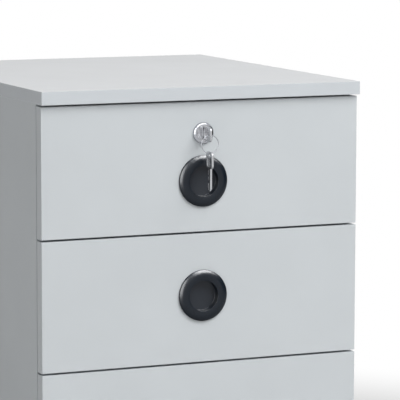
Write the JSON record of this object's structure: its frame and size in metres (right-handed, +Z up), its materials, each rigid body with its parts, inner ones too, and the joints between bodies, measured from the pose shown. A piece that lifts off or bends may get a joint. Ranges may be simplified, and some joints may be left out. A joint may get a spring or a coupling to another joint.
{
  "type": "drawer pedestal",
  "caption": "Light grey office drawer pedestal on castors, with round recessed pulls and a cam lock in the top drawer",
  "frame": {"origin": "on the floor, in the middle of the whole outline, keys included", "axes": "+X to the right seen from the front, +Y to the back, +Z up"},
  "size_m": [0.416, 0.5182, 0.57],
  "materials": {
    "top_board": "light grey melamine-faced chipboard, fine matt",
    "carcass_board": "light grey melamine-faced chipboard, fine matt",
    "front_board": "light grey melamine-faced chipboard, fine matt",
    "box_board": "light grey melamine-faced chipboard, fine matt",
    "bottom_sheet": "painted hardboard, smooth",
    "beech": "fluted beech, raw",
    "zinc_alloy": "die-cast zinc alloy, satin",
    "zinc_steel": "bright zinc-plated steel",
    "runner_steel": "galvanised cold-rolled steel",
    "black_plastic": "black moulded ABS, satin gloss",
    "lock_chrome": "polished chrome plate",
    "plug_nickel": "nickel-plated zinc alloy, satin",
    "key_nickel": "nickel-plated brass",
    "ring_steel": "nickel-plated spring steel",
    "castor_steel": "zinc-plated pressed steel",
    "wheel_plastic": "dark grey moulded polypropylene"
  },
  "bodies": {
    "carcass": {"top_panel": "top_board", "left_side_panel": "carcass_board", "right_side_panel": "carcass_board", "bottom_panel": "carcass_board", "back_panel": "carcass_board", "panel_dowels": "beech", "cam_fitting_housings": "zinc_alloy", "cam_fitting_bolts": "zinc_steel", "lock_strike_plate": "zinc_steel", "strike_screws": "zinc_steel", "cabinet_runners_1": "runner_steel", "cabinet_runners_2": "runner_steel", "cabinet_runners_3": "runner_steel", "cabinet_runner_screws": "zinc_steel", "castor_plates": "zinc_steel", "castor_screws": "zinc_steel"},
    "drawer_1": {"drawer_front_1": "front_board", "drawer_sides_1": "box_board", "drawer_back_1": "box_board", "drawer_bottom_1": "bottom_sheet", "drawer_runners_1": "runner_steel", "pull_1": "black_plastic", "drawer_screws_1": "zinc_steel", "lock_housing": "lock_chrome", "lock_nut": "zinc_steel"},
    "middle_1": {"middle_runners_1": "runner_steel"},
    "drawer_2": {"drawer_front_2": "front_board", "drawer_sides_2": "box_board", "drawer_back_2": "box_board", "drawer_bottom_2": "bottom_sheet", "drawer_runners_2": "runner_steel", "pull_2": "black_plastic", "drawer_screws_2": "zinc_steel"},
    "middle_2": {"middle_runners_2": "runner_steel"},
    "drawer_3": {"drawer_front_3": "front_board", "drawer_sides_3": "box_board", "drawer_back_3": "box_board", "drawer_bottom_3": "bottom_sheet", "drawer_runners_3": "runner_steel", "pull_3": "black_plastic", "drawer_screws_3": "zinc_steel"},
    "middle_3": {"middle_runners_3": "runner_steel"},
    "lock_plug": {"lock_plug": "plug_nickel", "lock_cam": "zinc_steel", "cam_screw": "zinc_steel"},
    "lock_key": {"lock_key": "key_nickel"},
    "key_ring": {"key_ring": "ring_steel"},
    "spare_key": {"spare_key": "key_nickel"},
    "castor_fork_1": {"castor_fork_1": "castor_steel", "castor_axle_1": "zinc_steel"},
    "castor_wheel_1": {"castor_wheel_1": "wheel_plastic"},
    "castor_fork_2": {"castor_fork_2": "castor_steel", "castor_axle_2": "zinc_steel"},
    "castor_wheel_2": {"castor_wheel_2": "wheel_plastic"},
    "castor_fork_3": {"castor_fork_3": "castor_steel", "castor_axle_3": "zinc_steel"},
    "castor_wheel_3": {"castor_wheel_3": "wheel_plastic"},
    "castor_fork_4": {"castor_fork_4": "castor_steel", "castor_axle_4": "zinc_steel"},
    "castor_wheel_4": {"castor_wheel_4": "wheel_plastic"}
  },
  "joints": [
    {"name": "drawer_1_slide", "type": "slide", "parent": "carcass", "child": "drawer_1", "axis": [0, -1, 0], "range_m": [0, 0.38]},
    {"name": "middle_1_slide", "type": "slide", "parent": "carcass", "child": "middle_1", "axis": [0, -1, 0], "range_m": [0, 0.19]},
    {"name": "drawer_2_slide", "type": "slide", "parent": "carcass", "child": "drawer_2", "axis": [0, -1, 0], "range_m": [0, 0.38]},
    {"name": "middle_2_slide", "type": "slide", "parent": "carcass", "child": "middle_2", "axis": [0, -1, 0], "range_m": [0, 0.19]},
    {"name": "drawer_3_slide", "type": "slide", "parent": "carcass", "child": "drawer_3", "axis": [0, -1, 0], "range_m": [0, 0.38]},
    {"name": "middle_3_slide", "type": "slide", "parent": "carcass", "child": "middle_3", "axis": [0, -1, 0], "range_m": [0, 0.19]},
    {"name": "lock_turn", "type": "hinge", "parent": "drawer_1", "child": "lock_plug", "pos_m": [0, -0.22887, 0.5135], "axis": [0, 1, 0], "range_deg": [0, 90]},
    {"name": "key_draw", "type": "slide", "parent": "lock_plug", "child": "lock_key", "axis": [0, -1, 0], "range_m": [0, 0.034]},
    {"name": "ring_swing", "type": "hinge", "parent": "lock_key", "child": "key_ring", "pos_m": [0, -0.25038, 0.5128], "axis": [0, 1, 0], "range_deg": [-38, 38]},
    {"name": "spare_key_swing", "type": "hinge", "parent": "key_ring", "child": "spare_key", "pos_m": [0, -0.25038, 0.4908], "axis": [1, 0, 0], "range_deg": [-75, 10]},
    {"name": "castor_1_swivel", "type": "hinge", "parent": "carcass", "child": "castor_fork_1", "pos_m": [-0.155, -0.15887, 0.06], "axis": [0, 0, 1], "continuous": true},
    {"name": "wheel_1_roll", "type": "hinge", "parent": "castor_fork_1", "child": "castor_wheel_1", "pos_m": [-0.155, -0.13887, 0.025], "axis": [1, 0, 0], "continuous": true},
    {"name": "castor_2_swivel", "type": "hinge", "parent": "carcass", "child": "castor_fork_2", "pos_m": [0.155, -0.15887, 0.06], "axis": [0, 0, 1], "continuous": true},
    {"name": "wheel_2_roll", "type": "hinge", "parent": "castor_fork_2", "child": "castor_wheel_2", "pos_m": [0.155, -0.13887, 0.025], "axis": [1, 0, 0], "continuous": true},
    {"name": "castor_3_swivel", "type": "hinge", "parent": "carcass", "child": "castor_fork_3", "pos_m": [-0.155, 0.20613, 0.06], "axis": [0, 0, 1], "continuous": true},
    {"name": "wheel_3_roll", "type": "hinge", "parent": "castor_fork_3", "child": "castor_wheel_3", "pos_m": [-0.155, 0.22612, 0.025], "axis": [1, 0, 0], "continuous": true},
    {"name": "castor_4_swivel", "type": "hinge", "parent": "carcass", "child": "castor_fork_4", "pos_m": [0.155, 0.20613, 0.06], "axis": [0, 0, 1], "continuous": true},
    {"name": "wheel_4_roll", "type": "hinge", "parent": "castor_fork_4", "child": "castor_wheel_4", "pos_m": [0.155, 0.22612, 0.025], "axis": [1, 0, 0], "continuous": true}
  ],
  "couplings": [
    {"joint": "middle_1_slide", "follows": "drawer_1_slide", "ratio": 0.5},
    {"joint": "middle_2_slide", "follows": "drawer_2_slide", "ratio": 0.5},
    {"joint": "middle_3_slide", "follows": "drawer_3_slide", "ratio": 0.5}
  ]
}
